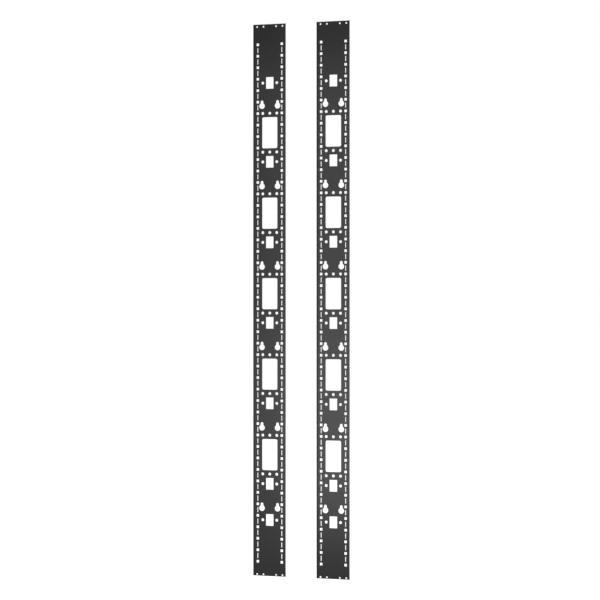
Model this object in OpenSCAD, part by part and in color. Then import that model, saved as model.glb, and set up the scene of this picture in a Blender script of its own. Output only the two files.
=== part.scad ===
// Pair of perforated vertical cable-management channels for a 48U equipment rack.
// Each channel is one sheet-steel blank: punched flat, then folded along both long
// edges into shallow stiffening lips that point forwards, towards -Y.
// Frame: +Z up, +X to the right as seen from the front, origin under the middle
// of the pair. All sizes are in millimetres.

/* [Channel] */
// Height of one rack unit, the pitch of every vertical pattern
rack_unit = 44.45; // [44.2:0.05:44.7]
// Rack units that the channel is tall
channel_units = 48; // [20:1:52]
// Width over the two folded lips
channel_width = 132; // [128:0.5:160]
// Thickness of the sheet steel
sheet = 1.5; // [1:0.1:2.5]
// Depth over the lips, sheet included
lip_depth = 6.4; // [5.6:0.1:20]
// Inside radius of the folded corners
bend_radius = 1.6; // [0.5:0.1:3]
// Radius on the free corners of each lip, at the top and the bottom
lip_corner = 1.2; // [0.5:0.1:2]
// Distance between the centre lines of the two channels
pair_spacing = 258; // [200:1:400]

/* [Edge columns] */
// Distance between the two columns of square holes
column_spacing = 98.2; // [97:0.1:100]
// Side of each square hole
square_hole = 9.9; // [8:0.1:11]
// Height of the lowest row of square holes above the bottom edge
lowest_row = 55.4; // [50:0.1:60]
// Width of the narrow cable-tie slots between the square holes
tie_slot_width = 3.2; // [2:0.1:5]
// Length of the cable-tie slots
tie_slot_length = 20; // [12:0.5:22]

/* [Keyholes] */
// Rack units from one pair of keyholes to the next
keyhole_units = 7; // [7:1:9]
// Rows of square holes above the highest pair of keyholes
keyhole_offset_rows = 5; // [4:1:6]
// Distance between the two keyholes of a pair
keyhole_spacing = 63.6; // [60:0.1:66]
// Diameter of the wide, lower end, which a button's head enters
keyhole_head = 22.6; // [18:0.1:24]
// Width of the narrow, upper end, which holds the button's neck
keyhole_neck = 11.2; // [8:0.1:13]
// Height of the narrow end's centre above the wide end's centre
keyhole_rise = 15.6; // [12:0.1:18]

/* [Windows] */
// Width of the large cable windows
large_window_width = 62; // [50:0.5:64]
// Height of the large cable windows
large_window_height = 120; // [100:1:124]
// Corner radius of the large cable windows
large_window_corner = 6; // [2:0.5:10]
// Width of the small cable windows
small_window_width = 30.5; // [20:0.5:34]
// Height of the small cable windows
small_window_height = 44.8; // [30:0.1:48]
// Corner radius of the small cable windows
small_window_corner = 1.2; // [0.5:0.1:4]
// Height from a keyhole row down to the small window below it
small_window_drop = 232.1; // [228:0.1:235]
// Height from the highest keyhole row up to the top small window
top_window_rise = 73; // [70:0.1:80]
// Height from the lowest keyhole row down to the bottom small window
bottom_window_drop = 60.7; // [58:0.1:66]

/* [Round holes] */
// Diameter of the round holes beside the windows
round_hole = 11.1; // [8:0.1:12]
// Distance between the outer round holes of a row
round_spacing = 57.2; // [54:0.1:60]
// Distance between the rows of round holes above and below a large window
round_row_spacing = 150; // [148:0.5:156]

/* [End holes] */
// Diameter of the screw holes at both ends
end_hole = 6.8; // [4:0.1:8]
// Distance between the two inner screw holes of an end
end_hole_inner = 51.8; // [40:0.1:60]
// Distance between the two outer screw holes of an end
end_hole_outer = 103.6; // [90:0.1:110]
// Distance of the top screw holes below the top edge
top_hole_inset = 9.1; // [7:0.1:15]
// Distance of the bottom screw holes above the bottom edge
bottom_hole_inset = 5.8; // [5.5:0.1:15]

/* [Hidden] */
$fn = 48;
coat_colour = [0.15, 0.15, 0.16];
cutter_overrun = 1;
channel_height = rack_unit * channel_units;
web_back = lip_depth / 2;
web_front = web_back - sheet;
outer_radius = bend_radius + sheet;
hole_rows = channel_units - 2;
highest_row = lowest_row + (hole_rows - 1) * rack_unit;
keyhole_pitch = keyhole_units * rack_unit;
keyhole_rows = floor((hole_rows - 1 - 2 * keyhole_offset_rows) / keyhole_units) + 1;
highest_keyhole = highest_row - keyhole_offset_rows * rack_unit;
lowest_keyhole = highest_keyhole - (keyhole_rows - 1) * keyhole_pitch;
sides = [-1, 1];

// Height of a keyhole row; row 0 is the highest
function keyhole_height(row) = highest_keyhole - row * keyhole_pitch;

// Height of the round holes over each large window: one unit under the keyholes
function upper_round_row(row) = keyhole_height(row) - rack_unit;

// Heights of every small window, from the top down
small_window_heights = concat(
    [highest_keyhole + top_window_rise],
    [for (row = [0 : keyhole_rows - 2]) keyhole_height(row) - small_window_drop],
    [lowest_keyhole - bottom_window_drop]
);

// Flat rectangle with round corners, centred
module rounded_rectangle(width, height, corner) {
    square([width - 2 * corner, height], center = true);
    square([width, height - 2 * corner], center = true);
    for (x = sides, y = sides)
        translate([x * (width / 2 - corner), y * (height / 2 - corner)]) circle(corner);
}

// Copies what follows to both sides of the centre line
module both_sides(spacing) {
    for (x = sides) translate([x * spacing / 2, 0]) children();
}

// Square holes at every rack unit, with a cable-tie slot between each two
module edge_column() {
    for (row = [0 : hole_rows - 1])
        translate([0, lowest_row + row * rack_unit]) square(square_hole, center = true);
    for (row = [0 : hole_rows - 2])
        translate([0, lowest_row + (row + 0.5) * rack_unit])
            rounded_rectangle(tie_slot_width, tie_slot_length, tie_slot_width / 2 - 0.01);
}

// Keyhole whose narrow end's centre is the origin
module keyhole() {
    circle(d = keyhole_neck);
    translate([-keyhole_neck / 2, -keyhole_rise]) square([keyhole_neck, keyhole_rise]);
    translate([0, -keyhole_rise]) circle(d = keyhole_head);
}

// Row of three round holes
module round_row() {
    circle(d = round_hole);
    both_sides(round_spacing) circle(d = round_hole);
}

// Large window with a row of round holes above and below; the upper row is the origin
module large_window_group() {
    round_row();
    translate([0, -round_row_spacing / 2])
        rounded_rectangle(large_window_width, large_window_height, large_window_corner);
    translate([0, -round_row_spacing]) round_row();
}

// Small window with one round hole at each side
module small_window_group() {
    rounded_rectangle(small_window_width, small_window_height, small_window_corner);
    both_sides(round_spacing) circle(d = round_hole);
}

// Screw holes across one end
module end_row() {
    both_sides(end_hole_inner) circle(d = end_hole);
    both_sides(end_hole_outer) circle(d = end_hole);
}

// Every hole in the web, seen from the front, with the bottom edge at height 0
module punched_pattern() {
    both_sides(column_spacing) edge_column();
    for (row = [0 : keyhole_rows - 1])
        translate([0, keyhole_height(row)]) both_sides(keyhole_spacing) keyhole();
    for (row = [0 : keyhole_rows - 2])
        translate([0, upper_round_row(row)]) large_window_group();
    for (height = small_window_heights)
        translate([0, height]) small_window_group();
    translate([0, bottom_hole_inset]) end_row();
    translate([0, channel_height - top_hole_inset]) end_row();
}

// Cross-section: flat web between two bends, each with its lip, seen from above
module folded_section() {
    flat_half = channel_width / 2 - outer_radius;
    lip_front = -lip_depth / 2;
    translate([-flat_half, web_front]) square([2 * flat_half, sheet]);
    for (side = sides) {
        translate([side * flat_half, web_back - outer_radius])
            intersection() {
                difference() {
                    circle(outer_radius);
                    circle(bend_radius);
                }
                translate([side > 0 ? 0 : -outer_radius, 0]) square(outer_radius);
            }
        translate([side > 0 ? channel_width / 2 - sheet : -channel_width / 2, lip_front])
            square([sheet, lip_depth - outer_radius]);
    }
}

// Rounds the free corners of both lips at the top and the bottom
module lip_corner_cutter() {
    for (end = [0, 1])
        translate([0, -lip_depth / 2, end * channel_height])
            mirror([0, 0, end])
                rotate([90, 0, 90])
                    translate([0, 0, -channel_width / 2 - cutter_overrun])
                        linear_extrude(channel_width + 2 * cutter_overrun)
                            difference() {
                                translate([-cutter_overrun, -cutter_overrun])
                                    square(lip_corner + cutter_overrun);
                                translate([lip_corner, lip_corner]) circle(lip_corner);
                            }
}

// One whole channel, centred on X = 0
module channel() {
    color(coat_colour) difference() {
        linear_extrude(channel_height) folded_section();
        translate([0, web_back + cutter_overrun, 0]) rotate([90, 0, 0])
            linear_extrude(sheet + 2 * cutter_overrun) punched_pattern();
        lip_corner_cutter();
    }
}

module left_channel() {
    translate([-pair_spacing / 2, 0, 0]) channel();
}

module right_channel() {
    translate([pair_spacing / 2, 0, 0]) channel();
}

left_channel();
right_channel();
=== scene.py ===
# Pair of black powder-coated cable channels, upright on a plain white floor.
# Everything is in metres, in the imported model's own frame.
import math

import bpy
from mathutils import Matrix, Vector

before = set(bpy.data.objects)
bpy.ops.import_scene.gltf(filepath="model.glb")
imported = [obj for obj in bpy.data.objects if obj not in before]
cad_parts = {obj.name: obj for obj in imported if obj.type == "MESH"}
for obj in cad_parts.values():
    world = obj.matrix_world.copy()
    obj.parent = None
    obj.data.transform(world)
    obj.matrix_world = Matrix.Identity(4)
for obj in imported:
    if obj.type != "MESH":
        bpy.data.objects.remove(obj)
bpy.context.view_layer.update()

# Camera: level, and turned round to the channels' right-hand side
CAMERA_TURN = math.radians(18.7)
CAMERA_DISTANCE = 7.6947
CAMERA_HEIGHT = 1.072
AIM_X = -0.0055          # where the lens axis meets the front of the webs
AIM_Y = 0.0017
SENSOR_WIDTH = 36.0
LENS = 120.06
FRAME_SIZE = 600
LEVEL_ROW = 298.75       # how far down the frame the lens's own level lies

# Two soft boxes in front: name, place, size and watts; both face straight back
SOFT_BOXES = [
    ("low_soft_box", (-0.21, -1.3, 0.54), (0.6, 0.8), 9.6),
    ("tall_soft_box", (-0.15, -1.3, 1.2), (1.0, 1.9), 12.0),
]
ROOM_SHADE = "#ffffff"
ROOM_LIGHT = 0.35        # grey of the room that lights the channels from all round
WHITE = 1.0

FLOOR_HALF = 9.0
FLOOR_SHADE = "#e8e8e8"
FLOOR_GLOW = 0.85        # brings the lit floor up to white and leaves its shadows

# Powder coat, lengths in metres
PEEL_CELL = 0.002        # orange-peel cells, the finest that a near view shows
PEEL_DEPTH = 0.00004
PEEL_STRENGTH = 0.3
FILM_PATCH = 0.25        # slow drift of film thickness along a channel
THIN_FILM, THICK_FILM = 0.35, 0.70
THIN_SHADE, THICK_SHADE = "#0e0e0f", "#131314"
SHEEN_SPREAD = (0.3, 0.7)
SHEEN_ROUGHNESS = (0.26, 0.32)
COAT_IOR = 1.32          # low for a resin, to match how dark the coat stays in a white room


def linear(hex_colour):
    """sRGB hex text to the linear colour that a socket takes."""
    parts = [int(hex_colour[i:i + 2], 16) / 255 for i in (1, 3, 5)]
    return [c / 12.92 if c <= 0.04045 else ((c + 0.055) / 1.055) ** 2.4
            for c in parts] + [1.0]


def add_node(tree, kind, inputs=None, **settings):
    """Adds a node; each input is a value, or another node's output to link."""
    node = tree.nodes.new(kind)
    for name, value in settings.items():
        setattr(node, name, value)
    for key, value in (inputs or {}).items():
        if isinstance(value, bpy.types.NodeSocket):
            tree.links.new(value, node.inputs[key])
        else:
            node.inputs[key].default_value = value
    return node


def empty_material(name):
    material = bpy.data.materials.new(name)
    material.use_nodes = True
    material.node_tree.nodes.clear()
    return material, material.node_tree


def black_powder_coat():
    """Polyester powder, sprayed on steel and baked: near-black, semi-gloss and even.
    Its sheen is broken by fine orange peel and drifts a little with the film's thickness."""
    material, tree = empty_material("black_powder_coat")
    place = add_node(tree, "ShaderNodeTexCoord").outputs["Object"]
    peel = add_node(tree, "ShaderNodeTexNoise", {
        "Vector": place, "Scale": 1 / PEEL_CELL, "Detail": 2.0, "Roughness": 0.5})
    film = add_node(tree, "ShaderNodeTexNoise", {
        "Vector": place, "Scale": 1 / FILM_PATCH, "Detail": 3.0, "Roughness": 0.55})
    shade = add_node(tree, "ShaderNodeValToRGB", {"Fac": film.outputs["Fac"]})
    thin, thick = shade.color_ramp.elements
    thin.position, thin.color = THIN_FILM, linear(THIN_SHADE)
    thick.position, thick.color = THICK_FILM, linear(THICK_SHADE)
    sheen = add_node(tree, "ShaderNodeMapRange", {
        "Value": film.outputs["Fac"],
        "From Min": SHEEN_SPREAD[0], "From Max": SHEEN_SPREAD[1],
        "To Min": SHEEN_ROUGHNESS[0], "To Max": SHEEN_ROUGHNESS[1]})
    relief = add_node(tree, "ShaderNodeBump", {
        "Height": peel.outputs["Fac"], "Strength": PEEL_STRENGTH, "Distance": PEEL_DEPTH})
    coat = add_node(tree, "ShaderNodeBsdfPrincipled", {
        "Base Color": shade.outputs["Color"], "Roughness": sheen.outputs["Result"],
        "IOR": COAT_IOR, "Metallic": 0.0, "Normal": relief.outputs["Normal"]})
    add_node(tree, "ShaderNodeOutputMaterial", {"Surface": coat.outputs["BSDF"]})
    return material


def seen_ray(tree):
    """1 for a ray from the lens, off gloss or through glass; otherwise 0."""
    ray = add_node(tree, "ShaderNodeLightPath")
    mirrored = add_node(tree, "ShaderNodeMath", {
        0: ray.outputs["Is Glossy Ray"], 1: ray.outputs["Is Transmission Ray"]},
        operation="MAXIMUM")
    return add_node(tree, "ShaderNodeMath", {
        0: ray.outputs["Is Camera Ray"], 1: mirrored.outputs["Value"]},
        operation="MAXIMUM").outputs["Value"]


def white_floor():
    """Matt white sweep: it shows white and keeps the shadow of what stands on it."""
    material, tree = empty_material("white_floor")
    glow = add_node(tree, "ShaderNodeMath", {
        0: seen_ray(tree), 1: FLOOR_GLOW}, operation="MULTIPLY")
    matt = add_node(tree, "ShaderNodeBsdfDiffuse", {"Color": linear(FLOOR_SHADE)})
    light = add_node(tree, "ShaderNodeEmission", {"Strength": glow.outputs["Value"]})
    both = add_node(tree, "ShaderNodeAddShader", {
        0: matt.outputs["BSDF"], 1: light.outputs["Emission"]})
    add_node(tree, "ShaderNodeOutputMaterial", {"Surface": both.outputs["Shader"]})
    mesh = bpy.data.meshes.new("floor")
    corners = [(-1, -1), (1, -1), (1, 1), (-1, 1)]
    mesh.from_pydata([(x * FLOOR_HALF, y * FLOOR_HALF, 0) for x, y in corners], [],
                     [(0, 1, 2, 3)])
    mesh.materials.append(material)
    floor = bpy.data.objects.new("floor", mesh)
    bpy.context.scene.collection.objects.link(floor)


def white_room():
    """Grey room that shows white behind the channels and in their gloss."""
    world = bpy.data.worlds.new("white_room")
    bpy.context.scene.world = world
    world.use_nodes = True
    tree = world.node_tree
    tree.nodes.clear()
    level = add_node(tree, "ShaderNodeMapRange", {
        "Value": seen_ray(tree), "To Min": ROOM_LIGHT, "To Max": WHITE})
    light = add_node(tree, "ShaderNodeBackground", {"Strength": level.outputs["Result"]})
    light.inputs["Color"].default_value = linear(ROOM_SHADE)
    add_node(tree, "ShaderNodeOutputWorld", {"Surface": light.outputs["Background"]})


def soft_box(name, place, size, watts):
    data = bpy.data.lights.new(name, "AREA")
    data.shape = "RECTANGLE"
    data.size, data.size_y = size
    data.energy = watts
    lamp = bpy.data.objects.new(name, data)
    bpy.context.scene.collection.objects.link(lamp)
    lamp.location = place
    lamp.rotation_euler = Vector((0, 1, 0)).to_track_quat("-Z", "Y").to_euler()


def camera():
    data = bpy.data.cameras.new("camera")
    data.sensor_width = SENSOR_WIDTH
    data.lens = LENS
    data.shift_y = LEVEL_ROW / FRAME_SIZE - 0.5
    body = bpy.data.objects.new("camera", data)
    bpy.context.scene.collection.objects.link(body)
    body.location = (AIM_X + CAMERA_DISTANCE * math.sin(CAMERA_TURN),
                     AIM_Y - CAMERA_DISTANCE * math.cos(CAMERA_TURN), CAMERA_HEIGHT)
    body.rotation_euler = (math.pi / 2, 0, CAMERA_TURN)
    bpy.context.scene.camera = body


powder_coat = black_powder_coat()
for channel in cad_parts.values():
    channel.data.materials.clear()
    channel.data.materials.append(powder_coat)

white_floor()
white_room()
for box in SOFT_BOXES:
    soft_box(*box)
camera()
bpy.context.scene.view_settings.view_transform = "Standard"
